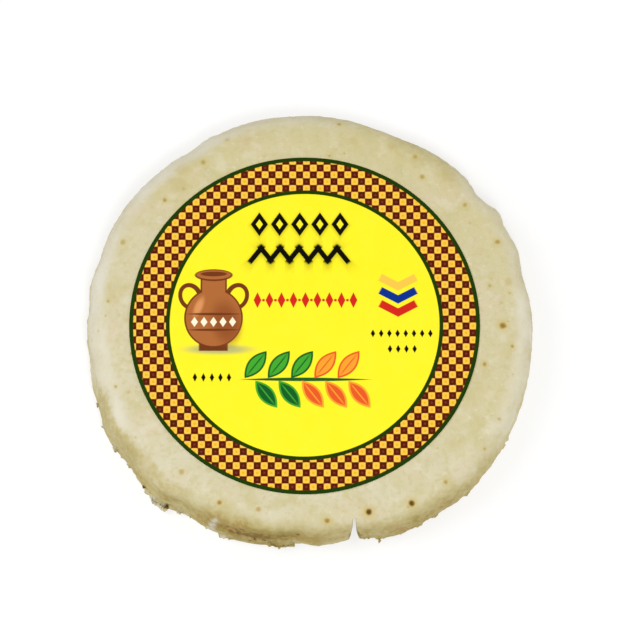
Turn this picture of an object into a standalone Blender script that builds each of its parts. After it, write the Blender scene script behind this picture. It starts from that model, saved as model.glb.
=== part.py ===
"""Arepa: one round flat griddle cake with a round paper label lying on its top.

Metres, +Z up. The base lies on Z = 0 and the origin is the middle of the base.
The front, with the split in the rim, faces -Y. Angles run from +X towards +Y, in degrees.
"""

import math

import bmesh
import bpy
from mathutils import Vector

# Driving dimensions of the cake.
CAKE_RADIUS = 0.0543
CAKE_THICKNESS = 0.0128
SHOULDER_WIDTH = 0.0050
SHOULDER_HEIGHT = 0.0040
FOOT_WIDTH = 0.0026
FOOT_HEIGHT = 0.0030
SIDE_BULGE = 0.0004

# The hand-patted dough leans: its top is pushed back from its base at the front left.
LEAN_MEAN = 0.0008
LEAN_FRONT_LEFT = 0.0016
LEAN_ANGLE = 222

# The point that the outline's angles turn about. It centres the uneven base on the origin.
OUTLINE_CENTRE = (0.0, -0.0009, 0.0)

# Broad lobes of the outline: (number of lobes, angle of a crest, height of the crest).
RIM_LOBES = (
    (1, 215, 0.0009),
    (2, 0, 0.00025),
    (3, 101, 0.00035),
    (4, 45, 0.00035),
    (5, 20, 0.00030),
)

# Short bulges (+) and dents (-) of the outline: (angle, half width, height).
RIM_MARKS = (
    (15, 5, -0.0006),
    (40, 3, -0.0007),
    (55, 5, 0.0005),
    (103, 6, 0.0005),
    (121, 3, -0.0006),
    (145, 8, 0.0004),
    (176, 6, -0.0006),
    (188, 3, -0.0008),
    (207, 5, 0.0009),
    (224, 10, -0.0008),
    (228, 4, 0.0013),
    (240, 6, -0.0012),
    (265, 5, -0.0006),
    (276, 9, -0.0012),
)

# Low swells of the top outside the label: (number of waves, angle of a crest, height).
TOP_SWELLS = (
    (3, 215, 0.00018),
    (7, 40, 0.00010),
)

# The split in the rim, a wedge that opens to the front and whose inner edge leans in towards the base.
SPLIT_X = 0.0108
SPLIT_TOP_TIP_Y = -0.0492
SPLIT_BASE_TIP_Y = -0.0450
SPLIT_OPENING_ANGLE = 21.0
SPLIT_OVERSHOOT = 0.0030

# The label, a stiff paper disc.
LABEL_RADIUS = 0.0422
LABEL_THICKNESS = 0.0004
LABEL_CENTRE_X = -0.0012
TOUCH_GAP = 0.0003

# Edges sharper than this stay crisp under the smooth shading.
SHARP_ANGLE = 40.0

# Steps of the faceted surfaces.
RIM_STEPS = 168
FOOT_STEPS = 4
WALL_STEPS = 3
SHOULDER_STEPS = 7
LABEL_STEPS = 96

# The flat spot under the label, and how far inwards to it the rings of the top lie.
FLAT_TOP_RADIUS = 0.0436
TOP_RING_SHARES = (0.35, 0.7)


def clear_scene():
    for obj in list(bpy.data.objects):
        bpy.data.objects.remove(obj, do_unlink=True)


def make_material(name, colour, roughness):
    material = bpy.data.materials.new(name)
    material.use_nodes = True
    shader = material.node_tree.nodes["Principled BSDF"]
    shader.inputs["Base Color"].default_value = (*colour, 1.0)
    shader.inputs["Roughness"].default_value = roughness
    shader.inputs["Metallic"].default_value = 0.0
    return material


def angle_between(degrees_a, degrees_b):
    """The smallest turn between two directions, in degrees."""
    return abs((degrees_a - degrees_b + 180.0) % 360.0 - 180.0)


def waves(degrees, table):
    """The sum of the waves round the cake, each a (number, crest angle, height)."""
    return sum(
        height * math.cos(math.radians(number * (degrees - crest)))
        for number, crest, height in table
    )


def rim_radius(degrees):
    """Radius of the uneven outline at its widest, at the foot of the side."""
    radius = CAKE_RADIUS + waves(degrees, RIM_LOBES)
    for place, half_width, height in RIM_MARKS:
        turn = angle_between(degrees, place)
        if turn < 2.0 * half_width:
            radius += height * math.cos(math.pi * turn / (4.0 * half_width)) ** 2
    return radius


def lean(degrees):
    """How far the top edge stands back from the base at this angle."""
    return LEAN_MEAN + LEAN_FRONT_LEFT * math.cos(math.radians(degrees - LEAN_ANGLE))


def side_section():
    """The section of the side from the base to the top, as (inset from the rim, height)."""
    points = []
    for step in range(FOOT_STEPS + 1):
        turn = math.pi / 2.0 * step / FOOT_STEPS
        points.append((FOOT_WIDTH * (1.0 - math.sin(turn)), FOOT_HEIGHT * (1.0 - math.cos(turn))))
    wall_top = CAKE_THICKNESS - SHOULDER_HEIGHT
    for step in range(1, WALL_STEPS):
        share = step / WALL_STEPS
        height = FOOT_HEIGHT + (wall_top - FOOT_HEIGHT) * share
        points.append((-SIDE_BULGE * math.sin(math.pi * share), height))
    for step in range(SHOULDER_STEPS + 1):
        turn = math.pi / 2.0 * step / SHOULDER_STEPS
        height = wall_top + SHOULDER_HEIGHT * math.sin(turn)
        points.append((SHOULDER_WIDTH * (1.0 - math.cos(turn)), height))
    return points


def rim_column(inset, height):
    """One ring of the side: a function from the angle to its (radius, height)."""
    def at(degrees):
        radius = rim_radius(degrees) - inset - lean(degrees) * height / CAKE_THICKNESS
        return radius, height
    return at


def top_ring(share):
    """One ring of the top, this share of the way from the shoulder to the flat spot under the label."""
    def at(degrees):
        outer = rim_radius(degrees) - SHOULDER_WIDTH - lean(degrees)
        swell = math.sin(math.pi * share) * waves(degrees, TOP_SWELLS)
        return outer + (FLAT_TOP_RADIUS - outer) * share, CAKE_THICKNESS + swell
    return at


def cake_rings():
    """All rings from the base to the flat spot under the label."""
    rings = [rim_column(inset, height) for inset, height in side_section()]
    rings += [top_ring(share) for share in (*TOP_RING_SHARES, 1.0)]
    return rings


def place_ring(verts, ring):
    """Moves a ring of vertices to its radius and height, each at its own angle."""
    for vert in verts:
        turn = math.atan2(vert.co.y, vert.co.x)
        radius, height = ring(math.degrees(turn) % 360.0)
        vert.co = Vector((radius * math.cos(turn), radius * math.sin(turn), height))


def make_cake(material):
    """The cake, grown ring by ring from its base and closed at the top."""
    bm = bmesh.new()
    base = bmesh.ops.create_circle(bm, cap_ends=True, segments=RIM_STEPS, radius=CAKE_RADIUS)
    rings = cake_rings()
    place_ring(base["verts"], rings[0])
    edges = list(bm.edges)
    for ring in rings[1:]:
        grown = bmesh.ops.extrude_edge_only(bm, edges=edges)["geom"]
        place_ring([item for item in grown if isinstance(item, bmesh.types.BMVert)], ring)
        edges = [
            item for item in grown
            if isinstance(item, bmesh.types.BMEdge) and len(item.link_faces) == 1
        ]
    bmesh.ops.holes_fill(bm, edges=edges, sides=0)
    bmesh.ops.recalc_face_normals(bm, faces=bm.faces)
    return finish_mesh("arepa", bm, material)


def finish_mesh(name, bm, material):
    """Turns the built mesh into a smooth-shaded object with its material."""
    mesh = bpy.data.meshes.new(name)
    bm.to_mesh(mesh)
    bm.free()
    mesh.materials.append(material)
    mesh.shade_smooth()
    mesh.set_sharp_from_angle(angle=math.radians(SHARP_ANGLE))
    return place_object(name, mesh)


def place_object(name, mesh):
    """Puts an object built about the outline's centre in its place."""
    obj = bpy.data.objects.new(name, mesh)
    obj.location = OUTLINE_CENTRE
    bpy.context.scene.collection.objects.link(obj)
    return obj


def split_triangle(tip_y):
    """The split in plan at one height: its tip inside the rim and its mouth outside."""
    mouth_y = -CAKE_RADIUS - SPLIT_OVERSHOOT
    half_mouth = (tip_y - mouth_y) * math.tan(math.radians(SPLIT_OPENING_ANGLE / 2.0))
    return (
        Vector((SPLIT_X, tip_y)),
        Vector((SPLIT_X - half_mouth, mouth_y)),
        Vector((SPLIT_X + half_mouth, mouth_y)),
    )


def make_split_cutter():
    """A wedge taller than the cake, with its inner edge leaning as the split does."""
    bm = bmesh.new()
    slope = (SPLIT_TOP_TIP_Y - SPLIT_BASE_TIP_Y) / CAKE_THICKNESS
    levels = (-SPLIT_OVERSHOOT, CAKE_THICKNESS + SPLIT_OVERSHOOT)
    rings = []
    for height in levels:
        corners = split_triangle(SPLIT_BASE_TIP_Y + slope * height)
        rings.append([bm.verts.new((corner.x, corner.y, height)) for corner in corners])
    edges = []
    for ring in rings:
        bm.faces.new(ring)
        edges += [bm.edges.get((ring[i], ring[(i + 1) % 3])) for i in range(3)]
    bmesh.ops.bridge_loops(bm, edges=edges)
    bmesh.ops.recalc_face_normals(bm, faces=bm.faces)
    mesh = bpy.data.meshes.new("split_cutter")
    bm.to_mesh(mesh)
    bm.free()
    cutter = place_object("split_cutter", mesh)
    cutter.hide_render = True
    cutter.display_type = "WIRE"
    return cutter


def cut_split(cake):
    cutter = make_split_cutter()
    modifier = cake.modifiers.new("split", "BOOLEAN")
    modifier.operation = "DIFFERENCE"
    modifier.solver = "EXACT"
    modifier.object = cutter


def make_label(material):
    """The label, a thin disc lying flat on the top."""
    bm = bmesh.new()
    underside = CAKE_THICKNESS + TOUCH_GAP
    disc = bmesh.ops.create_circle(bm, cap_ends=True, segments=LABEL_STEPS, radius=LABEL_RADIUS)
    bmesh.ops.translate(bm, verts=disc["verts"], vec=(LABEL_CENTRE_X, 0.0, underside))
    raised = bmesh.ops.extrude_face_region(bm, geom=list(bm.faces))["geom"]
    top_verts = [item for item in raised if isinstance(item, bmesh.types.BMVert)]
    bmesh.ops.translate(bm, verts=top_verts, vec=(0.0, 0.0, LABEL_THICKNESS))
    bmesh.ops.recalc_face_normals(bm, faces=bm.faces)
    return finish_mesh("label", bm, material)


def build():
    clear_scene()
    dough = make_material("baked_dough", (0.66, 0.60, 0.38), 0.75)
    paper = make_material("printed_paper", (0.98, 0.94, 0.04), 0.45)
    cut_split(make_cake(dough))
    make_label(paper)


build()
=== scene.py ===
import math
import random

import bpy
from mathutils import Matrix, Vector, kdtree, noise


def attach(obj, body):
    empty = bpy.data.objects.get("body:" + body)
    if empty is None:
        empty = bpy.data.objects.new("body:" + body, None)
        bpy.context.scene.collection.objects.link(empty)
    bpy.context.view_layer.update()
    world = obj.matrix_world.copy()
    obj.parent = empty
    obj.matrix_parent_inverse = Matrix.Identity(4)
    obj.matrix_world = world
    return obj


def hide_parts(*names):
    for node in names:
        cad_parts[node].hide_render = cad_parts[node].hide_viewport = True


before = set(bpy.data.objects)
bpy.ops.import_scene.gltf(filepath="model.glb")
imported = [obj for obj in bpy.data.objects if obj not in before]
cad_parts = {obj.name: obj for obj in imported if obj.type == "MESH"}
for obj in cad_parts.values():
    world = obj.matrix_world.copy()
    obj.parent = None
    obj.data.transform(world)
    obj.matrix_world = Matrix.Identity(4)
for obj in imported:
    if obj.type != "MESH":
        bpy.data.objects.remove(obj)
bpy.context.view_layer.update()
bpy.ops.object.select_all(action="DESELECT")


# ---------------------------------------------------------------- the cake
# One round cake of white starch dough, patted by hand and baked pale on a griddle. Its top is nearly
# flat, its shoulder rolls over, and its side is toasted, streaked and crumbly where the dough tore.

CAKE_TOP = 0.0128
CAKE_MIDDLE = Vector((0.0, -0.0009, 0.0))
LABEL_REACH = 0.0408
EVEN_GRAIN = 0.00055
DOUGH_GRAIN = 0.00036

# Lumps of dough that cling to the foot of the side: (bearing, height, radius).
CLINGING_LUMPS = (
    (204.0, 0.0024, 0.0009), (210.5, 0.0022, 0.0010), (216.0, 0.0026, 0.0009),
    (224.5, 0.0020, 0.0013), (227.5, 0.0016, 0.0016), (230.0, 0.0014, 0.0012),
    (234.0, 0.0018, 0.0010), (246.5, 0.0014, 0.0011), (249.0, 0.0016, 0.0009),
    (259.6, 0.0018, 0.0014), (262.0, 0.0022, 0.0019), (264.4, 0.0020, 0.0013),
    (284.8, 0.0016, 0.0007), (288.5, 0.0016, 0.0011), (299.0, 0.0014, 0.0009),
    (304.0, 0.0022, 0.0008), (314.0, 0.0026, 0.0008), (329.0, 0.0030, 0.0009),
)
# Two burnt crumbs that jut out of it.
BURNT_CRUMBS = ((224.0, 0.0050, 0.0010), (231.3, 0.0036, 0.0010))
SMALL_CRUMBS = 80
SMALL_CRUMB_RADIUS = (0.00035, 0.00075)

# Torn stretches of the side: (middle bearing, half width, share of the small crumbs).
TORN_STRETCHES = ((212, 14, 0.25), (232, 12, 0.30), (255, 14, 0.20), (293, 9, 0.08), (330, 60, 0.17))

# Where the side swells out (+) or draws in (-): (middle bearing, half width, reach).
SIDE_SHIFTS = (
    (22, 4, 0.0005), (33, 2, 0.0010), (47, 4, 0.0008), (84, 8, 0.0004), (114, 26, 0.0008), (118, 3, 0.0004),
    (167, 3, 0.0004), (177, 2, 0.0004), (203, 8, -0.0010), (214, 5, -0.0008), (231, 6, -0.0015),
    (256, 8, -0.0014), (265, 3, -0.0005), (284, 4, -0.0010), (305, 6, -0.0003),
)
MOST_SHIFT = 0.0015


def alone(piece):
    """Makes a piece the only selected and active one."""
    bpy.ops.object.select_all(action="DESELECT")
    piece.select_set(True)
    bpy.context.view_layer.objects.active = piece
    return piece


def apply_modifier(piece, kind, **settings):
    """Adds a modifier to a piece, sets it and applies it."""
    alone(piece)
    modifier = piece.modifiers.new(kind.lower(), kind)
    for name, value in settings.items():
        setattr(modifier, name, value)
    bpy.ops.object.modifier_apply(modifier=modifier.name)


def ramp(value, low, high):
    """0 below low, 1 above high, and an even curve between them. low may be the greater one."""
    share = min(max((value - low) / (high - low), 0.0), 1.0)
    return share * share * (3.0 - 2.0 * share)


def bearing(place):
    """The direction of a place round the cake's middle, in degrees from +X towards +Y."""
    return math.degrees(math.atan2(place.y - CAKE_MIDDLE.y, place.x - CAKE_MIDDLE.x)) % 360.0


def turn_between(degrees_a, degrees_b):
    return abs((degrees_a - degrees_b + 180.0) % 360.0 - 180.0)


def outwards(degrees):
    return Vector((math.cos(math.radians(degrees)), math.sin(math.radians(degrees)), 0.0))


def copy_of_node(node, name):
    """A piece with a CAD node's shape, its loose triangles merged."""
    piece = bpy.data.objects.new(name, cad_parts[node].data.copy())
    bpy.context.scene.collection.objects.link(piece)
    alone(piece)
    bpy.ops.object.mode_set(mode="EDIT")
    bpy.ops.mesh.select_all(action="SELECT")
    bpy.ops.mesh.remove_doubles(threshold=0.00001)
    bpy.ops.object.mode_set(mode="OBJECT")
    return piece


def even_skin(piece, grain, rounds):
    """Rebuilds a piece's surface in even faces and smooths it a number of rounds."""
    alone(piece)
    piece.data.remesh_voxel_size = grain
    bpy.ops.object.voxel_remesh()
    apply_modifier(piece, "SMOOTH", factor=0.5, iterations=rounds)


def side_point(piece, degrees, height):
    """The place and outward normal of the cake's side at a bearing and a height."""
    start = CAKE_MIDDLE + outwards(degrees) * 0.09 + Vector((0.0, 0.0, height))
    found, place, normal, _ = piece.ray_cast(start, -outwards(degrees))
    return place, normal


def top_point(piece, degrees, radius):
    """The place and normal of the cake's upper side at a bearing and a distance from the middle."""
    start = CAKE_MIDDLE + outwards(degrees) * radius + Vector((0.0, 0.0, 0.03))
    found, place, normal, _ = piece.ray_cast(start, Vector((0.0, 0.0, -1.0)))
    return place, normal


def make_crumb(rng, place, radius):
    """A crumb of dough: a small ball knocked out of round."""
    bpy.ops.mesh.primitive_ico_sphere_add(
        subdivisions=2, radius=radius, location=place,
        rotation=[rng.uniform(0.0, math.tau) for _ in range(3)],
        scale=(1.0, rng.uniform(0.7, 1.0), rng.uniform(0.5, 0.8)),
    )
    bpy.ops.object.mode_set(mode="EDIT")
    bpy.ops.transform.vertex_random(offset=0.25 * radius, normal=0.5, seed=rng.randrange(9999))
    bpy.ops.object.mode_set(mode="OBJECT")
    return bpy.context.object


def add_crumbs(piece):
    """The clinging lumps and small crumbs of the torn side, sunk into the cake and joined to it."""
    rng = random.Random(7)
    crumbs = []
    for degrees, height, radius in CLINGING_LUMPS:
        place, normal = side_point(piece, degrees, height)
        crumbs.append(make_crumb(rng, place - normal * radius * 0.15, radius))
        crumbs.append(make_crumb(rng, place + outwards(degrees + 90.0) * radius, radius * 0.7))
    bearings = [
        middle + rng.uniform(-spread, spread)
        for middle, spread, share in TORN_STRETCHES
        for _ in range(round(SMALL_CRUMBS * share))
    ]
    for degrees in bearings:
        place, normal = side_point(piece, degrees, rng.uniform(0.0010, 0.0075))
        radius = rng.uniform(*SMALL_CRUMB_RADIUS)
        crumbs.append(make_crumb(rng, place - normal * radius * 0.2, radius))
    for degrees, height, radius in BURNT_CRUMBS:
        place, normal = side_point(piece, degrees, height)
        crumbs.append(make_crumb(rng, place + normal * radius * 0.2, radius))
    alone(piece)
    for crumb in crumbs:
        crumb.select_set(True)
    bpy.ops.object.join()


def weigh(piece, name, weight_at):
    """A vertex group whose weights a function gives from each place."""
    group = piece.vertex_groups.new(name=name)
    for vertex in piece.data.vertices:
        group.add([vertex.index], weight_at(vertex.co), "REPLACE")


def press_in(piece, kind, size, height, group, stretch=None, **texture_settings):
    """Raises and sinks the surface by a natural pattern of a given size."""
    pattern = bpy.data.textures.new(kind.lower(), kind)
    pattern.noise_scale = size
    for name, value in texture_settings.items():
        setattr(pattern, name, value)
    settings = {"texture": pattern, "strength": height, "mid_level": 0.5, "vertex_group": group}
    if stretch:
        guide = bpy.data.objects.new("grain_guide", None)
        guide.scale = stretch
        bpy.context.scene.collection.objects.link(guide)
        bpy.context.view_layer.update()
        settings["texture_coords"] = "OBJECT"
        settings["texture_coords_object"] = guide
    apply_modifier(piece, "DISPLACE", **settings)
    if stretch:
        bpy.data.objects.remove(guide)


def off_base(place):
    """0 on the base that the cake rests on, 1 above it."""
    return ramp(place.z, 0.0002, 0.0016)


def on_side(place):
    """1 on the side, 0 on the base and on the top."""
    return off_base(place) * ramp(place.z, CAKE_TOP - 0.0015, CAKE_TOP - 0.0050)


def tear_depth(place):
    """How deeply the side is torn: most at the front left, least at the back."""
    turn = turn_between(bearing(place), 240.0)
    return on_side(place) * (0.42 + 0.58 * ramp(turn, 110.0, 20.0))


def in_the_open(place):
    """0 on the base and under the label, 1 where the skin shows."""
    return off_base(place) * ramp((place - CAKE_MIDDLE).xy.length, LABEL_REACH, LABEL_REACH + 0.0015)


def hidden(place):
    """1 where the label or the ground covers the cake, 0 where it shows."""
    under_label = ramp((place - CAKE_MIDDLE).xy.length, LABEL_REACH, LABEL_REACH - 0.002)
    return max(1.0 - ramp(place.z, 0.0002, 0.0004), under_label)


def bump_at(degrees, table):
    """The sum of the smooth bumps of a table of (middle bearing, half width, height)."""
    total = 0.0
    for middle, half_width, height in table:
        turn = turn_between(degrees, middle)
        if turn < 2.0 * half_width:
            total += height * math.cos(math.pi * turn / (4.0 * half_width)) ** 2
    return total


def side_shift(place):
    """How far the side moves out here, as a share of the greatest shift."""
    return on_side(place) * bump_at(bearing(place), SIDE_SHIFTS) / MOST_SHIFT


cake = copy_of_node("arepa", "cake")
even_skin(cake, EVEN_GRAIN, 8)
add_crumbs(cake)
even_skin(cake, DOUGH_GRAIN, 4)

weigh(cake, "all_round", off_base)
weigh(cake, "side", on_side)
weigh(cake, "torn", tear_depth)
weigh(cake, "open", in_the_open)
weigh(cake, "shoulder", lambda place: ramp(place.z, 0.0050, 0.0080))
weigh(cake, "swell", lambda place: max(side_shift(place), 0.0))
weigh(cake, "draw_in", lambda place: max(-side_shift(place), 0.0))
apply_modifier(cake, "DISPLACE", strength=MOST_SHIFT, mid_level=0.0, vertex_group="swell")
apply_modifier(cake, "DISPLACE", strength=-MOST_SHIFT, mid_level=0.0, vertex_group="draw_in")
apply_modifier(cake, "SMOOTH", factor=0.5, iterations=45, vertex_group="shoulder")
press_in(cake, "CLOUDS", 0.0110, 0.00050, "all_round", noise_depth=1)
press_in(cake, "CLOUDS", 0.0034, 0.00075, "torn", stretch=(1.0, 1.0, 0.45), noise_depth=2)
press_in(cake, "CLOUDS", 0.0015, 0.00034, "side", noise_depth=2)
press_in(cake, "CLOUDS", 0.0026, 0.00016, "open", noise_depth=2)
press_in(cake, "CLOUDS", 0.0011, 0.00009, "open", noise_depth=2)

weigh(cake, "hidden", hidden)
apply_modifier(cake, "DECIMATE", ratio=0.50, vertex_group="hidden", vertex_group_factor=10.0)

# The split in the rim: a blunt wedge that opens to the front, its inner end leaning in towards the base.
SPLIT_X = 0.0108
SPLIT_TIP_Y = -0.0501
SPLIT_MOUTH_Y = -0.0582
SPLIT_MOUTH_WIDTH = 0.0029
SPLIT_TIP_WIDTH = 0.0006
SPLIT_UNDERCUT = 1.8


def select_where(piece, is_wanted):
    """Leaves edit mode's selection on the vertices that a test picks by their place."""
    bpy.ops.object.mode_set(mode="EDIT")
    bpy.ops.mesh.select_mode(type="VERT")
    bpy.ops.mesh.select_all(action="DESELECT")
    bpy.ops.object.mode_set(mode="OBJECT")
    for vertex in piece.data.vertices:
        vertex.select = is_wanted(vertex.co)
    bpy.ops.object.mode_set(mode="EDIT")


def make_split_wedge():
    """The shape of the torn gap: a bar, narrow at its inner end, deeper at its foot, with rough walls."""
    length = SPLIT_TIP_Y - SPLIT_MOUTH_Y
    middle = Vector((SPLIT_X, SPLIT_MOUTH_Y + length / 2.0, CAKE_TOP / 2.0))
    bpy.ops.mesh.primitive_cube_add(size=1.0, location=middle, scale=(SPLIT_MOUTH_WIDTH, length, 0.019))
    wedge = bpy.context.object
    bpy.ops.object.transform_apply(location=True, rotation=True, scale=True)
    select_where(wedge, lambda place: place.y > middle.y)
    bpy.ops.transform.resize(
        value=(SPLIT_TIP_WIDTH / SPLIT_MOUTH_WIDTH, 1.0, 1.0), center_override=(SPLIT_X, SPLIT_TIP_Y, 0.0)
    )
    select_where(wedge, lambda place: place.z < middle.z)
    bpy.ops.transform.resize(
        value=(1.0, SPLIT_UNDERCUT, 1.0), center_override=(SPLIT_X, SPLIT_MOUTH_Y, 0.0)
    )
    bpy.ops.mesh.select_all(action="SELECT")
    bpy.ops.mesh.subdivide(number_cuts=24)
    bpy.ops.mesh.normals_make_consistent(inside=False)
    bpy.ops.object.mode_set(mode="OBJECT")
    weigh(wedge, "whole", lambda place: 1.0)
    press_in(wedge, "CLOUDS", 0.0022, 0.00030, "whole", noise_depth=2)
    return wedge


def rim_reach(piece):
    """How far the side reaches from the cake's middle at each whole degree, evened out a little."""
    reach = [0.0] * 360
    for vertex in piece.data.vertices:
        if 0.002 < vertex.co.z < 0.008:
            degrees = int(bearing(vertex.co))
            reach[degrees] = max(reach[degrees], (vertex.co - CAKE_MIDDLE).xy.length)
    return [sum(reach[(turn + step) % 360] for step in range(-2, 3)) / 5.0 for turn in range(360)]


RIM_REACH = rim_reach(cake)
wedge = make_split_wedge()
apply_modifier(cake, "BOOLEAN", operation="DIFFERENCE", solver="MANIFOLD", object=wedge)
bpy.data.objects.remove(wedge)
alone(cake)
bpy.ops.object.shade_smooth_by_angle(angle=math.radians(50.0))

# How the skin is toasted round the cake: (middle bearing, half width, strength added there).
TOASTED_STRETCHES = (
    (228, 16, 0.18), (255, 11, 0.68), (271, 7, 0.16), (300, 18, 0.28), (338, 16, -0.12), (95, 95, -0.26),
    (130, 14, -0.14),
)
# Softly toasted patches with a clearer edge: (middle bearing, half width, strength, how far up they reach).
TOASTED_SHELVES = (
    (203, 11, 0.38, 0.0143), (213, 10, 0.40, 0.0156), (228, 9, 0.32, 0.0170), (58, 9, 0.26, 0.0185),
)
TOAST_ALL_ROUND = 0.36
# How far up the skin the toasted band reaches: (middle bearing, half width, height added there).
TOAST_RISES = (
    (240, 17, 0.0030), (213, 15, 0.0030), (256, 12, 0.0010), (272, 8, 0.0012), (308, 22, 0.0020),
    (350, 22, 0.0014), (150, 60, -0.0040),
)
TOAST_HEIGHT = 0.0122
# How much paler the foot of the side is at the front left.
PALE_FOOT = 0.42

# Bits of brown husk and burnt spots in the skin: (bearing, distance from the middle, radius, darkness).
SPECKS = (
    (0, 0.0467, 0.00105, 0.66), (13, 0.0448, 0.00060, 0.35), (13, 0.0494, 0.00150, 0.18),
    (25, 0.0503, 0.00085, 0.46), (39, 0.0486, 0.00075, 0.38), (54, 0.0467, 0.00080, 0.40),
    (59, 0.0500, 0.00080, 0.42), (82, 0.0520, 0.00065, 0.40), (113, 0.0515, 0.00085, 0.22),
    (122, 0.0489, 0.00080, 0.36), (138, 0.0474, 0.00070, 0.46), (155, 0.0500, 0.00100, 0.30),
    (201, 0.0466, 0.00070, 0.22), (230, 0.0477, 0.00100, 0.30), (244, 0.0490, 0.00075, 0.55),
    (255, 0.0473, 0.00085, 0.35), (267, 0.0508, 0.00070, 0.80), (275, 0.0486, 0.00085, 0.58),
    (287, 0.0485, 0.00095, 1.00), (299, 0.0505, 0.00095, 0.95), (310, 0.0508, 0.00070, 0.38),
    (324, 0.0520, 0.00055, 0.35), (333, 0.0512, 0.00060, 0.30), (347, 0.0433, 0.00070, 0.52),
    (354, 0.0492, 0.00060, 0.45), (48, 0.0509, 0.00240, 0.15), (66, 0.0498, 0.00200, 0.14),
    (77, 0.0480, 0.00180, 0.12), (108, 0.0492, 0.00200, 0.13), (128, 0.0505, 0.00260, 0.14),
    (171, 0.0478, 0.00160, 0.10), (262, 0.0492, 0.00170, 0.10), (318, 0.0476, 0.00180, 0.10),
    (131.8, 0.0474, 0.00300, 0.15),
)
# The same on the side: (bearing, height, radius, darkness).
SIDE_SPECKS = (
    (224.0, 0.0052, 0.00130, 1.00), (231.3, 0.0038, 0.00130, 1.00), (223.5, 0.0066, 0.00220, 0.34),
    (251, 0.0064, 0.00080, 0.80), (253.5, 0.0060, 0.00070, 0.80), (258, 0.0056, 0.00080, 0.75),
    (264, 0.0044, 0.00070, 0.75),
)
STRAY_SPECKS = 46
# Pale dry dough on the side: (bearing, height, radius).
PALE_PATCHES = (
    (204.0, 0.0022, 0.0012), (210.5, 0.0020, 0.0012), (216.0, 0.0024, 0.0011), (227.0, 0.0016, 0.0024),
    (229.5, 0.0014, 0.0020), (234.5, 0.0016, 0.0010), (247.5, 0.0012, 0.0014),
) + tuple(
    (243.2 + 0.07 * step + 0.25 * math.sin(step), 0.0012 + 0.0004 * step, 0.0013 - 0.00002 * step)
    for step in range(21)
)
# Where the dough is yellower than round about: (middle bearing, half width, amount).
RIPE_STRETCHES = ((126, 14, 0.50), (60, 14, 0.45), (272, 8, 0.35), (300, 10, 0.15), (332, 12, 0.30))
# Where a highlight is painted on the rolled shoulder as a paler, greyer tone: (middle bearing, half width, share).
SHOULDER_HIGHLIGHTS = (
    (130, 16, 1.4), (166, 12, 0.8), (188, 22, 0.85), (209, 9, 0.5), (24, 26, 0.40), (338, 14, 0.7), (2, 9, 0.8),
    (98, 14, 0.6),
)


def noise_in(place, size, rise=1.0):
    """Smooth noise from -1 to 1 of a given size. A rise under 1 makes it flat streaks along the rim."""
    return noise.noise(Vector((place.x, place.y, place.z / rise)) / size)


def from_rim(place):
    """How far in from the rim a place lies."""
    degrees = bearing(place)
    share = degrees % 1.0
    rim = RIM_REACH[int(degrees) % 360] * (1.0 - share) + RIM_REACH[int(degrees + 1) % 360] * share
    return rim - (place - CAKE_MIDDLE).xy.length


def climb(place):
    """How far up the skin a place lies: its height and its way in from the rim. Below 0 on the base."""
    return place.z + max(from_rim(place), 0.0) * (2.0 * ramp(place.z, 0.0010, 0.0040) - 1.0)


def toasting(place):
    """How brown the skin is: a band round the side with a ragged upper edge and darker streaks."""
    degrees = bearing(place)
    strength = TOAST_ALL_ROUND + bump_at(degrees, TOASTED_STRETCHES)
    height = TOAST_HEIGHT + bump_at(degrees, TOAST_RISES)
    ragged = 0.0012 * noise_in(place, 0.0060) + 0.0003 * noise_in(place, 0.0015)
    band = ramp(climb(place) + ragged, height + 0.0042, height - 0.0070)
    streak = ramp(abs(noise_in(place, 0.0170, 0.13)), 0.20, 0.0) * ramp(turn_between(degrees, 250.0), 60.0, 20.0)
    foot = PALE_FOOT * ramp(place.z, 0.0066, 0.0030) * ramp(turn_between(degrees, 250.0), 46.0, 22.0)
    cloud = 0.20 * noise_in(place, 0.0050, 0.6)
    baked = band * (strength * (1.0 + 0.22 * streak) * (1.0 - foot) + cloud)
    for middle, half_width, most, edge in TOASTED_SHELVES:
        shelf = bump_at(degrees, ((middle, half_width, most),))
        if shelf > 0.0:
            baked = max(baked, shelf * ramp(climb(place) + 2.0 * ragged, edge + 0.0022, edge - 0.0022) + 0.5 * cloud)
    return baked


def ripeness(place):
    """How yellow the dough is: most at the back right, least at the front left, and in a few patches."""
    slope = 6.0 * place.x + 10.0 * (place.y - CAKE_MIDDLE.y)
    return 0.30 + 0.30 * noise_in(place, 0.0160) + slope + bump_at(bearing(place), RIPE_STRETCHES)


def painted_shoulder_highlight(place):
    """How strongly the painted highlight lies on the rolled shoulder: most a little way in from the rim."""
    degrees = bearing(place)
    inset = from_rim(place) - 0.0018 * ramp(turn_between(degrees, 205.0), 30.0, 12.0)
    band = ramp(inset, 0.0056, 0.0024) * ramp(place.z, 0.0060, 0.0095)
    return band * bump_at(degrees, SHOULDER_HIGHLIGHTS) * (0.85 + 0.4 * noise_in(place, 0.0045))


def paint(piece, name, values):
    """Stores a value for each vertex, which the material reads by its name."""
    piece.data.attributes.new(name, "FLOAT", "POINT").data.foreach_set("value", values)


def dab(piece, spots, reach, hard):
    """A value for each vertex: each spot (place, radius, strength) fades out at reach times its radius."""
    values = [0.0] * len(piece.data.vertices)
    tree = kdtree.KDTree(len(values))
    for vertex in piece.data.vertices:
        tree.insert(vertex.co, vertex.index)
    tree.balance()
    for place, radius, strength in spots:
        for found, index, gap in tree.find_range(place, reach * radius * 1.3):
            gap *= 1.0 + 0.25 * noise_in(found, radius)
            values[index] = max(values[index], strength * ramp(gap, reach * radius, hard * radius))
    return values


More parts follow.
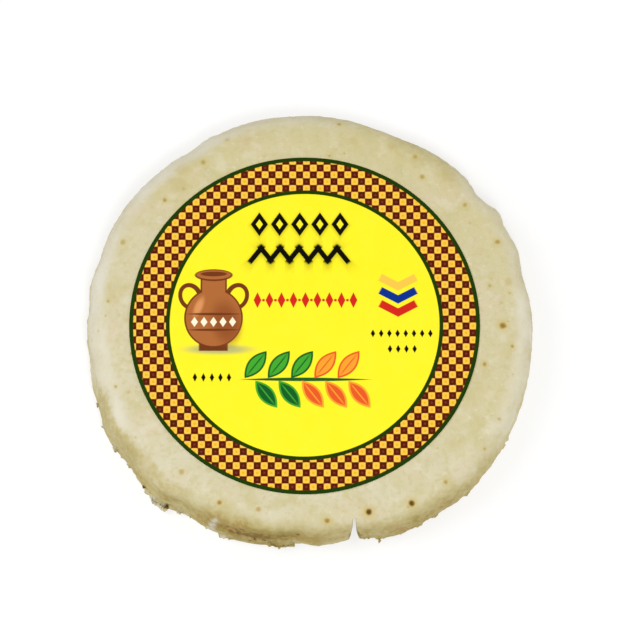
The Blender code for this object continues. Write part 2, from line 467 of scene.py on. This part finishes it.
def speck_spots(piece):
    """The listed specks and the seeded stray ones, as (place, radius, darkness)."""
    rng = random.Random(21)
    spots = [(top_point(piece, turn, far)[0], size, dark) for turn, far, size, dark in SPECKS]
    spots += [(side_point(piece, turn, high)[0], size, dark) for turn, high, size, dark in SIDE_SPECKS]
    for _ in range(STRAY_SPECKS):
        degrees = rng.uniform(0.0, 360.0)
        if rng.random() < 0.65:
            place, _ = top_point(piece, degrees, rng.uniform(0.0430, 0.0515))
        else:
            place, _ = side_point(piece, degrees, rng.uniform(0.0020, 0.0100))
        spots.append((place, rng.uniform(0.00025, 0.00045), rng.uniform(0.15, 0.50)))
    return spots


specks = speck_spots(cake)
patches = [(side_point(cake, turn, high)[0], size, 1.0) for turn, high, size in PALE_PATCHES]
paint(cake, "toast", [toasting(vertex.co) for vertex in cake.data.vertices])
paint(cake, "ripe", [ripeness(vertex.co) for vertex in cake.data.vertices])
# The painted highlight on the rolled shoulder, strongest on the left.
paint(cake, "shoulder_highlight", [painted_shoulder_highlight(vertex.co) for vertex in cake.data.vertices])
paint(cake, "halo", dab(cake, specks, 2.6, 0.5))
paint(cake, "char", dab(cake, specks, 1.15, 0.30))
paint(cake, "chalk", dab(cake, patches, 1.3, 0.0))


def colour(red, green, blue):
    """A colour given as on a paint card, from 0 to 255, made ready for a shader."""
    card = [value / 255.0 for value in (red, green, blue)]
    return (*[v / 12.92 if v < 0.04045 else ((v + 0.055) / 1.055) ** 2.4 for v in card], 1.0)


CREAM = colour(206, 197, 162)
GREY_CREAM = colour(209, 202, 173)
YELLOW_CREAM = colour(202, 192, 147)
OLIVE_CREAM = colour(195, 185, 135)
ROSY_CREAM = colour(209, 195, 163)
PALE_FLECK = colour(219, 213, 190)
# The colour of the painted highlight on the rolled shoulder.
HIGHLIGHT_GREY = colour(219, 214, 197)
PALE_KHAKI = colour(188, 175, 123)
KHAKI = colour(164, 141, 77)
OLIVE = colour(156, 138, 67)
BROWN = colour(130, 100, 43)
AMBER = colour(198, 179, 110)
TAN = colour(174, 151, 76)
RUSSET = colour(176, 138, 66)
BURNT = colour(82, 60, 14)
CHALK = colour(208, 205, 190)


def add_node(tree, kind, **settings):
    node = tree.nodes.new(kind)
    for name, value in settings.items():
        setattr(node, name, value)
    return node


def feed(tree, socket, value):
    """Links a socket to another one, or sets it to a plain value."""
    if isinstance(value, bpy.types.NodeSocket):
        tree.links.new(value, socket)
    else:
        socket.default_value = value


def noise_share(tree, place, size, detail=2.0, low=0.35, high=0.65, twist=0.0):
    """A share from 0 to 1 that changes over the surface in patches of a given size."""
    pattern = add_node(tree, "ShaderNodeTexNoise")
    feed(tree, pattern.inputs["Vector"], place)
    feed(tree, pattern.inputs["Scale"], 1.0 / size)
    feed(tree, pattern.inputs["Detail"], detail)
    feed(tree, pattern.inputs["Distortion"], twist)
    return spread(tree, pattern.outputs["Fac"], low, high)


def spread(tree, value, low, high, start=0.0, end=1.0):
    """A value's range from low to high, stretched smoothly from start to end."""
    node = add_node(tree, "ShaderNodeMapRange", interpolation_type="SMOOTHSTEP")
    for socket, number in zip(node.inputs, (value, low, high, start, end)):
        feed(tree, socket, number)
    return node.outputs["Result"]


def reckon(tree, operation, first, second=0.0, third=0.0):
    node = add_node(tree, "ShaderNodeMath", operation=operation)
    for socket, number in zip(node.inputs, (first, second, third)):
        feed(tree, socket, number)
    return node.outputs["Value"]


def over(tree, share, under, upper):
    """A colour laid over another by a share."""
    node = add_node(tree, "ShaderNodeMix", data_type="RGBA")
    feed(tree, node.inputs[0], share)
    feed(tree, node.inputs[6], under)
    feed(tree, node.inputs[7], upper)
    return node.outputs[2]


def painted(tree, name):
    return add_node(tree, "ShaderNodeAttribute", attribute_name=name).outputs["Fac"]


def times(tree, value, number):
    return reckon(tree, "MULTIPLY", value, number)


def make_dough():
    """Pale starch dough: soft cream and olive clouds, chalky flecks, a painted highlight on the shoulder, a toasted
    side, brown specks.
    """
    material = bpy.data.materials.new("dough")
    material.use_nodes = True
    tree = material.node_tree
    place = add_node(tree, "ShaderNodeTexCoord").outputs["Object"]

    skin = over(tree, noise_share(tree, place, 0.011, 1.0), CREAM, GREY_CREAM)
    skin = over(tree, spread(tree, painted(tree, "ripe"), 0.0, 1.0), skin, YELLOW_CREAM)
    clouds = noise_share(tree, place, 0.0052, 3.0, 0.42, 0.72, 0.3)
    skin = over(tree, times(tree, clouds, 0.75), skin, OLIVE_CREAM)
    rosy = noise_share(tree, place, 0.0085, 2.0, 0.50, 0.72, 0.2)
    skin = over(tree, times(tree, rosy, 0.55), skin, ROSY_CREAM)
    mealy = noise_share(tree, place, 0.0013, 3.0, 0.48, 0.70)
    skin = over(tree, times(tree, mealy, 0.55), skin, OLIVE_CREAM)
    milky = noise_share(tree, place, 0.0040, 2.0, 0.52, 0.72, 0.2)
    skin = over(tree, times(tree, milky, 0.35), skin, PALE_FLECK)
    flecks = noise_share(tree, place, 0.0015, 1.0, 0.62, 0.78)
    skin = over(tree, times(tree, flecks, 0.35), skin, PALE_FLECK)
    # A painted highlight along the rolled shoulder.
    skin = over(tree, times(tree, painted(tree, "shoulder_highlight"), 0.75), skin, HIGHLIGHT_GREY)

    patchy = spread(tree, noise_share(tree, place, 0.0013, 3.0, 0.3, 0.7), 0.0, 1.0, 0.82, 1.18)
    toast = reckon(tree, "MULTIPLY", painted(tree, "toast"), patchy)
    baked = over(tree, noise_share(tree, place, 0.0060, 2.0, 0.42, 0.62), KHAKI, OLIVE)
    skin = over(tree, spread(tree, toast, 0.02, 0.40), skin, PALE_KHAKI)
    skin = over(tree, spread(tree, toast, 0.28, 0.80), skin, baked)
    skin = over(tree, spread(tree, toast, 0.80, 1.25), skin, BROWN)

    crumbly = spread(tree, mealy, 0.0, 1.0, 0.72, 0.42)
    skin = over(tree, reckon(tree, "MULTIPLY", painted(tree, "chalk"), crumbly), skin, CHALK)
    plain = spread(tree, toast, 0.60, 0.10)
    halo = times(tree, reckon(tree, "MULTIPLY", painted(tree, "halo"), plain), 0.85)
    skin = over(tree, halo, skin, AMBER)
    char = painted(tree, "char")
    husk = over(tree, spread(tree, char, 0.34, 0.60), TAN, RUSSET)
    skin = over(tree, reckon(tree, "MULTIPLY", spread(tree, char, 0.02, 0.45), plain), skin, husk)
    skin = over(tree, spread(tree, char, 0.36, 1.00), skin, BURNT)

    grain = noise_share(tree, place, 0.00055, 4.0, 0.2, 0.8)
    bump = add_node(tree, "ShaderNodeBump")
    feed(tree, bump.inputs["Height"], grain)
    feed(tree, bump.inputs["Strength"], 0.45)
    feed(tree, bump.inputs["Distance"], 0.00012)

    shader = tree.nodes["Principled BSDF"]
    feed(tree, shader.inputs["Base Color"], skin)
    feed(tree, shader.inputs["Roughness"], spread(tree, grain, 0.0, 1.0, 0.62, 0.80))
    feed(tree, shader.inputs["Normal"], bump.outputs["Normal"])
    feed(tree, shader.inputs["Specular IOR Level"], 0.30)
    feed(tree, shader.inputs["Subsurface Weight"], 0.12)
    feed(tree, shader.inputs["Subsurface Radius"], (0.8, 0.75, 0.7))
    feed(tree, shader.inputs["Subsurface Scale"], 0.0012)
    return material


# The skin laid out flat: three strips that run round the side and over the shoulder, each a third of
# the way, and above them the base, the middle of the top and the two walls of the split.
MAP_SCALE = 9.2
STRIP_PITCH = 0.278
STRIP_TURN = 123.0
SECTION_RADIUS = 0.0064
SECTION_INSET = 0.0060
STRIP_START = -0.0008
STRIP_END = 0.0290
HIDDEN_SCALE = 1.5
HIDDEN_RADIUS = 0.0395


def along_section(place):
    """How far up the rounded section of the side and in over the top a place lies."""
    outer = SECTION_INSET - from_rim(place)
    if outer > 0.0:
        far = SECTION_RADIUS * (math.atan2(place.z - SECTION_RADIUS, outer) + math.pi / 2.0)
    elif place.z > SECTION_RADIUS:
        far = SECTION_RADIUS * math.pi - outer
    else:
        far = outer
    return min(max(far, STRIP_START), STRIP_END) - STRIP_START


def spot_on_cake_map(centre, normal, place):
    """Where a corner of a face lies on the cake's map."""
    if abs(centre.x - SPLIT_X) < 0.002 and centre.y < -0.044 and abs(normal.x) > 0.7:
        start = 0.60 if normal.x > 0.0 else 0.44
        return start + MAP_SCALE * (place.y + 0.0582), 0.85 + MAP_SCALE * place.z
    away = place - CAKE_MIDDLE
    base = centre.z < SECTION_RADIUS and from_rim(centre) > SECTION_INSET
    if base or (centre - CAKE_MIDDLE).xy.length < HIDDEN_RADIUS:
        start = 0.09 if base else 0.27
        return start + HIDDEN_SCALE * away.x, 0.918 + HIDDEN_SCALE * away.y
    strip = int(bearing(centre) // 120.0)
    turn = (bearing(place) - 120.0 * strip - 60.0 + 180.0) % 360.0 - 180.0
    return 0.5 + turn / STRIP_TURN, 0.002 + STRIP_PITCH * strip + MAP_SCALE * along_section(place)


def lay_map(piece, spot_at):
    """Gives a piece its own map. A function says where each corner of each face lies on it."""
    spots = []
    for face in piece.data.polygons:
        for index in face.vertices:
            spots += spot_at(face.center, face.normal, piece.data.vertices[index].co)
    piece.data.uv_layers.new(name="OFBake").data.foreach_set("uv", spots)


lay_map(cake, spot_on_cake_map)
cake.data.materials.clear()
cake.data.materials.append(make_dough())
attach(cake, "root")
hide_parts("arepa")


# ---------------------------------------------------------------- the label
# A round label of thin coated paper, printed on its upper side and laid on the cake, so it follows
# the dough a little. Its border is a plain kitchen checker, its yellow field has simple motifs.

LABEL_MIDDLE = Vector((-0.00118, -0.00068, 0.0))
LABEL_RADIUS = 0.04236
LABEL_SIDES = 192
LABEL_RINGS = 28
PAPER_THICKNESS = 0.00022
PAPER_GAP = 0.00010


def make_label_sheet():
    """A flat disc in rings, dropped on the cake, evened out as stiff paper is, and raised to leave room for its
    thickness.
    """
    bpy.ops.mesh.primitive_circle_add(
        vertices=LABEL_SIDES, radius=LABEL_RADIUS, fill_type="NGON",
        location=LABEL_MIDDLE + Vector((0.0, 0.0, CAKE_TOP + 0.004)),
    )
    sheet = bpy.context.object
    bpy.ops.object.transform_apply(location=True, rotation=True, scale=True)
    bpy.ops.object.mode_set(mode="EDIT")
    for _ in range(LABEL_RINGS - 1):
        bpy.ops.mesh.inset(thickness=LABEL_RADIUS / LABEL_RINGS)
    bpy.ops.mesh.poke()
    bpy.ops.object.mode_set(mode="OBJECT")
    apply_modifier(
        sheet, "SHRINKWRAP", target=cake, wrap_method="PROJECT", use_project_z=True,
        use_negative_direction=True, use_positive_direction=False,
    )
    apply_modifier(sheet, "SMOOTH", factor=0.5, iterations=30, use_x=False, use_y=False)
    bpy.ops.object.mode_set(mode="EDIT")
    bpy.ops.mesh.select_all(action="SELECT")
    bpy.ops.transform.translate(value=(0.0, 0.0, PAPER_GAP + PAPER_THICKNESS))
    bpy.ops.object.mode_set(mode="OBJECT")
    return sheet


# The print, in millimetres from the label's middle.
FIELD_REACH = 32.57
FIELD_TALLNESS = 1.013
INNER_LINE_REACH = 33.50
CHECKER_REACH = 41.38
CHECK_SIZE = (1.676, 1.743)
DARK_CHECK = (0.42, 1.31)
INK_EDGE = 0.08

INKS = {
    "yellow": (colour(250, 234, 38), INK_EDGE),
    "line": (colour(26, 55, 0), INK_EDGE),
    "dark check": (colour(84, 20, 0), INK_EDGE),
    "dark dot": (colour(116, 52, 36), INK_EDGE),
    "gold check": (colour(250, 196, 74), INK_EDGE),
    "gold dot": (colour(230, 174, 2), INK_EDGE),
    "shadow": (colour(200, 193, 28), 0.9),
    "black": (colour(8, 6, 0), INK_EDGE),
    "red": (colour(205, 38, 26), INK_EDGE),
    "gold": (colour(250, 196, 72), INK_EDGE),
    "blue": (colour(4, 46, 138), INK_EDGE),
    "clay": (colour(171, 102, 52), INK_EDGE),
    "clay line": (colour(112, 54, 22), INK_EDGE),
    "clay shade": (colour(146, 80, 38), 1.6),
    "clay shine": (colour(214, 144, 88), 0.5),
    "cream": (colour(244, 236, 206), INK_EDGE),
    "grey": (colour(186, 184, 110), 0.6),
    "green": (colour(66, 164, 44), INK_EDGE),
    "deep green": (colour(16, 92, 34), INK_EDGE),
    "orange": (colour(248, 158, 46), INK_EDGE),
    "rust": (colour(226, 88, 36), INK_EDGE),
}

# Each motif: (ink, shape, middle of the first, half sizes, turn in degrees, how many, step between them).
TITLE_BANDS = (
    ("shadow", "lozenge", (-11.0, 25.0), (2.4, 3.3), 0, 5, 4.9),
    ("black", "lozenge", (-11.0, 25.3), (2.1, 3.0), 0, 5, 4.9),
    ("yellow", "lozenge", (-11.0, 25.3), (0.85, 1.25), 0, 5, 4.9),
    ("shadow", "bar", (-11.7, 17.4), (2.9, 0.9), 52, 5, 4.6),
    ("shadow", "bar", (-9.4, 17.4), (2.9, 0.9), -52, 5, 4.6),
    ("black", "bar", (-11.7, 17.7), (2.8, 0.62), 52, 5, 4.6),
    ("black", "bar", (-9.4, 17.7), (2.8, 0.62), -52, 5, 4.6),
)
RED_BAND = (
    ("red", "lozenge", (-11.4, 6.1), (0.95, 2.0), 0, 9, 2.9),
    ("red", "oval", (-9.95, 6.1), (0.34, 0.34), 0, 8, 2.9),
)
CHEVRONS = tuple(
    (ink, "bar", (22.6 + 1.95 * side, height), (2.7, 0.95), 28 * side, 1, 0)
    for ink, height in (("gold", 10.6), ("blue", 7.3), ("red", 4.0))
    for side in (-1, 1)
)
SMALL_ROWS = (
    ("black", "lozenge", (16.5, -2.3), (0.55, 1.0), 0, 8, 1.98),
    ("black", "lozenge", (20.6, -6.2), (0.55, 1.0), 0, 4, 1.98),
    ("black", "lozenge", (-26.4, -13.3), (0.55, 1.1), 0, 5, 2.05),
)
CLAY_JAR = (
    ("grey", "oval", (-20.8, -6.3), (7.4, 1.2), 0, 1, 0),
    ("clay line", "oval", (-27.6, 7.0), (2.9, 3.5), 20, 1, 0),
    ("clay line", "oval", (-16.4, 7.0), (2.9, 3.5), -20, 1, 0),
    ("yellow", "oval", (-27.7, 7.0), (1.8, 2.4), 20, 1, 0),
    ("yellow", "oval", (-16.3, 7.0), (1.8, 2.4), -20, 1, 0),
    ("clay line", "bar", (-22.0, -5.4), (3.5, 1.3), 0, 1, 0),
    ("clay line", "bar", (-22.0, 9.6), (3.2, 2.9), 0, 1, 0),
    ("clay line", "oval", (-22.0, 1.6), (7.1, 7.5), 0, 1, 0),
    ("clay", "oval", (-22.0, 1.6), (6.7, 7.1), 0, 1, 0),
    ("clay", "bar", (-22.0, 9.0), (2.8, 2.9), 0, 1, 0),
    ("clay shade", "oval", (-19.0, 0.4), (3.2, 5.0), 12, 1, 0),
    ("clay shine", "oval", (-25.6, 4.4), (0.9, 2.4), -22, 1, 0),
    ("cream", "lozenge", (-26.6, 0.6), (0.85, 1.25), 0, 5, 2.3),
    ("clay line", "leaf", (-22.0, 2.6), (6.9, 0.3), 0, 1, 0),
    ("clay line", "leaf", (-22.0, -1.4), (6.7, 0.3), 0, 1, 0),
    ("clay line", "oval", (-22.0, 12.4), (4.6, 1.5), 0, 1, 0),
    ("clay", "oval", (-22.0, 12.5), (4.2, 1.15), 0, 1, 0),
    ("clay line", "oval", (-22.0, 12.7), (3.2, 0.6), 0, 1, 0),
)
# A sprig with leaves above and below its stem, green on the left and orange on the right.
LEAF_STEP = 5.6
LEAF_TURN = 52
LEAF_ROWS = (
    ("green", "deep green", (-11.8, -10.1), 1, 3),
    ("orange", "rust", (5.0, -10.1), 1, 2),
    ("deep green", "green", (-9.2, -17.5), -1, 2),
    ("rust", "orange", (2.0, -17.5), -1, 3),
)
SPRIG = (("deep green", "leaf", (0.2, -13.8), (15.8, 0.45), 0, 1, 0),) + tuple(
    motif
    for fill, line, first, side, count in LEAF_ROWS
    for motif in (
        (line, "leaf", first, (4.3, 1.9), LEAF_TURN * side, count, LEAF_STEP),
        (fill, "leaf", first, (3.6, 1.45), LEAF_TURN * side, count, LEAF_STEP),
        (line, "bar", first, (2.7, 0.15), LEAF_TURN * side, count, LEAF_STEP),
    )
)


def vector_maths(tree, operation, first, second=(0.0, 0.0, 0.0), result="Vector"):
    node = add_node(tree, "ShaderNodeVectorMath", operation=operation)
    feed(tree, node.inputs[0], first)
    feed(tree, node.inputs[1], second)
    return node.outputs[result]


def axes_of(tree, place):
    node = add_node(tree, "ShaderNodeSeparateXYZ")
    feed(tree, node.inputs["Vector"], place)
    return node.outputs


def from_nearest(tree, flat, step, count):
    """The place as seen from the nearest motif of a row whose first one is at the middle."""
    axes = axes_of(tree, flat)
    number = reckon(tree, "ROUND", times(tree, axes["X"], 1.0 / step))
    number = reckon(tree, "MINIMUM", reckon(tree, "MAXIMUM", number, 0.0), count - 1.0)
    node = add_node(tree, "ShaderNodeCombineXYZ")
    feed(tree, node.inputs["X"], reckon(tree, "MULTIPLY_ADD", number, -step, axes["X"]))
    feed(tree, node.inputs["Y"], axes["Y"])
    return node.outputs["Vector"]


def motif_share(tree, flat, shape, middle, half_sizes, turn, count, step, edge):
    """1 inside a motif or a row of them, 0 outside, with an edge of the given softness."""
    if count > 1:
        flat = vector_maths(tree, "SUBTRACT", flat, (middle[0], 0.0, 0.0))
        flat = from_nearest(tree, flat, step, count)
        middle = (0.0, middle[1])
    local = add_node(tree, "ShaderNodeMapping", vector_type="TEXTURE")
    feed(tree, local.inputs["Vector"], flat)
    feed(tree, local.inputs["Location"], (*middle, 0.0))
    feed(tree, local.inputs["Rotation"], (0.0, 0.0, math.radians(turn)))
    feed(tree, local.inputs["Scale"], (*half_sizes, 1.0))
    away = vector_maths(tree, "ABSOLUTE", local.outputs["Vector"])
    if shape == "oval":
        reach = vector_maths(tree, "LENGTH", away, result="Value")
    elif shape == "lozenge":
        reach = vector_maths(tree, "DOT_PRODUCT", away, (1.0, 1.0, 0.0), "Value")
    else:
        axes = axes_of(tree, away)
        if shape == "bar":
            reach = reckon(tree, "MAXIMUM", axes["X"], axes["Y"])
        else:
            reach = reckon(tree, "MULTIPLY_ADD", axes["X"], axes["X"], axes["Y"])
    soft = edge / min(half_sizes)
    return spread(tree, reach, 1.0 + soft, 1.0 - soft)


def lay_motifs(tree, flat, ground, motifs):
    """Prints motifs over a ground, one after another."""
    for ink, shape, middle, half_sizes, turn, count, step in motifs:
        tint, edge = INKS[ink]
        share = motif_share(tree, flat, shape, middle, half_sizes, turn, count, step, edge)
        ground = over(tree, share, ground, tint)
    return ground


def checker_ground(tree, flat):
    """Square checks in brown and gold, each with a faint dot where the two inks meet."""
    axes = axes_of(tree, flat)
    waves = []
    for name, start, size in zip("XY", DARK_CHECK, CHECK_SIZE):
        along = reckon(tree, "MULTIPLY_ADD", axes[name], math.pi / size, -start * math.pi / size)
        waves.append(reckon(tree, "COSINE", along))
    check = reckon(tree, "MULTIPLY", *waves)
    dark = over(tree, spread(tree, check, 0.74, 0.98, 0.0, 0.9), INKS["dark check"][0], INKS["dark dot"][0])
    gold = over(tree, spread(tree, check, -0.66, -0.94, 0.0, 0.9), INKS["gold check"][0], INKS["gold dot"][0])
    return over(tree, spread(tree, check, -0.15, 0.07), gold, dark)


def make_paper_fibre():
    """The fine fibres of paper, for the printed side and the bare one: a height and a mottling."""
    group = bpy.data.node_groups.new("paper_fibre", "ShaderNodeTree")
    group.interface.new_socket("Place", in_out="INPUT", socket_type="NodeSocketVector")
    group.interface.new_socket("Coarseness", in_out="INPUT", socket_type="NodeSocketFloat")
    group.interface.new_socket("Height", in_out="OUTPUT", socket_type="NodeSocketFloat")
    group.interface.new_socket("Mottle", in_out="OUTPUT", socket_type="NodeSocketFloat")
    given = add_node(group, "NodeGroupInput").outputs
    place = add_node(group, "ShaderNodeVectorMath", operation="DIVIDE")
    feed(group, place.inputs[0], given["Place"])
    feed(group, place.inputs[1], given["Coarseness"])
    result = add_node(group, "NodeGroupOutput").inputs
    feed(group, result["Height"], noise_share(group, place.outputs["Vector"], 0.00030, 3.0, 0.25, 0.75))
    feed(group, result["Mottle"], noise_share(group, place.outputs["Vector"], 0.0040, 3.0))
    return group


def add_paper(name, coarseness, relief):
    """A paper material with its fibres in place: returns it, its fibre mottling and its place socket."""
    material = bpy.data.materials.new(name)
    material.use_nodes = True
    tree = material.node_tree
    place = add_node(tree, "ShaderNodeTexCoord").outputs["Object"]
    fibre = add_node(tree, "ShaderNodeGroup", node_tree=PAPER_FIBRE)
    feed(tree, fibre.inputs["Place"], place)
    feed(tree, fibre.inputs["Coarseness"], coarseness)
    bump = add_node(tree, "ShaderNodeBump")
    feed(tree, bump.inputs["Height"], fibre.outputs["Height"])
    feed(tree, bump.inputs["Strength"], 0.4)
    feed(tree, bump.inputs["Distance"], relief)
    feed(tree, tree.nodes["Principled BSDF"].inputs["Normal"], bump.outputs["Normal"])
    return material, place, fibre.outputs["Mottle"]


def make_printed_paper():
    """Coated paper: the yellow field with its motifs, the checker border, and two dark green lines."""
    material, place, mottle = add_paper("printed_paper", 1.0, 0.00001)
    tree = material.node_tree
    mapping = add_node(tree, "ShaderNodeMapping")
    feed(tree, mapping.inputs["Vector"], place)
    feed(tree, mapping.inputs["Location"], LABEL_MIDDLE * -1000.0)
    feed(tree, mapping.inputs["Scale"], (1000.0, 1000.0, 0.0))
    flat = mapping.outputs["Vector"]
    ink = over(tree, times(tree, mottle, 0.5), INKS["yellow"][0], colour(250, 236, 48))
    ink = lay_motifs(tree, flat, ink, TITLE_BANDS + RED_BAND + CHEVRONS + SMALL_ROWS + CLAY_JAR + SPRIG)
    reach = vector_maths(tree, "LENGTH", flat, result="Value")
    line, edge = INKS["line"]
    tall = vector_maths(tree, "MULTIPLY", flat, (1.0, 1.0 / FIELD_TALLNESS, 1.0))
    field = vector_maths(tree, "LENGTH", tall, result="Value")
    ink = over(tree, spread(tree, field, FIELD_REACH - edge, FIELD_REACH + edge), ink, line)
    border = spread(tree, field, INNER_LINE_REACH - edge, INNER_LINE_REACH + edge)
    ink = over(tree, border, ink, checker_ground(tree, flat))
    ink = over(tree, spread(tree, reach, CHECKER_REACH - edge, CHECKER_REACH + edge), ink, line)
    shader = tree.nodes["Principled BSDF"]
    feed(tree, shader.inputs["Base Color"], ink)
    feed(tree, shader.inputs["Roughness"], spread(tree, mottle, 0.0, 1.0, 0.46, 0.56))
    feed(tree, shader.inputs["Specular IOR Level"], 0.06)
    return material


def make_bare_paper():
    """The unprinted underside and the cut edge: off-white, dull and a little fibrous."""
    material, place, mottle = add_paper("bare_paper", 1.6, 0.00003)
    tree = material.node_tree
    shader = tree.nodes["Principled BSDF"]
    feed(tree, shader.inputs["Base Color"], over(tree, mottle, colour(236, 232, 220), colour(226, 220, 204)))
    feed(tree, shader.inputs["Roughness"], spread(tree, mottle, 0.0, 1.0, 0.78, 0.88))
    feed(tree, shader.inputs["Specular IOR Level"], 0.3)
    return material


def spot_on_label_map(centre, normal, place):
    """Where a corner lies on the label's map: the print, a ring round it for the edge, a small underside."""
    flat = (place - LABEL_MIDDLE).xy / LABEL_RADIUS
    if normal.z > 0.6:
        return 0.5 + 0.465 * flat.x, 0.5 + 0.465 * flat.y
    if normal.z < -0.6:
        return 0.07 + 0.06 * flat.x, 0.07 + 0.06 * flat.y
    flat = flat.normalized() * (0.472 if place.z > centre.z else 0.484)
    return 0.5 + flat.x, 0.5 + flat.y


PAPER_FIBRE = make_paper_fibre()
label = make_label_sheet()
label.name = "paper_label"
label.data.materials.append(make_printed_paper())
label.data.materials.append(make_bare_paper())
apply_modifier(
    label, "SOLIDIFY", thickness=PAPER_THICKNESS, offset=-1.0, material_offset=1, material_offset_rim=1
)
apply_modifier(
    label, "BEVEL", width=0.00005, segments=1, limit_method="ANGLE", angle_limit=math.radians(50.0)
)
alone(label)
bpy.ops.object.shade_smooth_by_angle(angle=math.radians(40.0))
lay_map(label, spot_on_label_map)
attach(label, "root")
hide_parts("label")


# ---------------------------------------------------------------- the floor
# A plain pale ground of matt board, faintly lit from within, wide enough to fill the view.

bpy.ops.mesh.primitive_plane_add(size=3.0, location=(0.0, 0.0, 0.0))
floor = bpy.context.object
floor.name = "floor"
ground = bpy.data.materials.new("ground")
ground.use_nodes = True
ground_shader = ground.node_tree.nodes["Principled BSDF"]
ground_shader.inputs["Base Color"].default_value = (0.36, 0.36, 0.36, 1.0)
ground_shader.inputs["Roughness"].default_value = 0.9
ground_shader.inputs["Emission Color"].default_value = (1.0, 1.0, 1.0, 1.0)
ground_shader.inputs["Emission Strength"].default_value = 0.62
floor.data.materials.append(ground)


# ---------------------------------------------------------------- light and camera
# A white room, a large soft lamp high on the left, a weak one on the right and one above the front.

VIEW_ELEVATION = 73.7
VIEW_LENS = 300.0
VIEW_WIDTH = 0.1546
VIEW_CENTRE = Vector((0.00254, 0.0005, 0.0128))


def add_lamp(name, place, size, energy):
    """A round soft lamp that shines on the cake."""
    bpy.ops.object.light_add(type="AREA", location=place)
    lamp = bpy.context.object
    lamp.name = name
    lamp.data.shape = "DISK"
    lamp.data.size = size
    lamp.data.energy = energy
    lamp.rotation_euler = (-Vector(place)).to_track_quat("-Z", "Y").to_euler()


scene = bpy.context.scene
scene.view_settings.view_transform = "Standard"
world = bpy.data.worlds.new("studio")
world.use_nodes = True
world.node_tree.nodes["Background"].inputs["Color"].default_value = (1.0, 1.0, 1.0, 1.0)
world.node_tree.nodes["Background"].inputs["Strength"].default_value = 0.52
scene.world = world

add_lamp("left_lamp", (-0.47, 0.04, 0.58), 0.5, 1.9)
add_lamp("right_lamp", (0.62, 0.10, 0.34), 0.6, 0.9)
add_lamp("front_lamp", (0.10, -0.42, 0.78), 0.25, 2.8)

camera = bpy.data.objects.new("camera", bpy.data.cameras.new("camera"))
scene.collection.objects.link(camera)
camera.data.lens = VIEW_LENS
camera.data.sensor_width = 36.0
distance = VIEW_WIDTH / camera.data.sensor_width * VIEW_LENS
rise = math.radians(VIEW_ELEVATION)
camera.location = VIEW_CENTRE + Vector((0.0, -math.cos(rise), math.sin(rise))) * distance
camera.rotation_euler = (math.pi / 2.0 - rise, 0.0, 0.0)
camera.data.clip_start = 0.01
scene.camera = camera
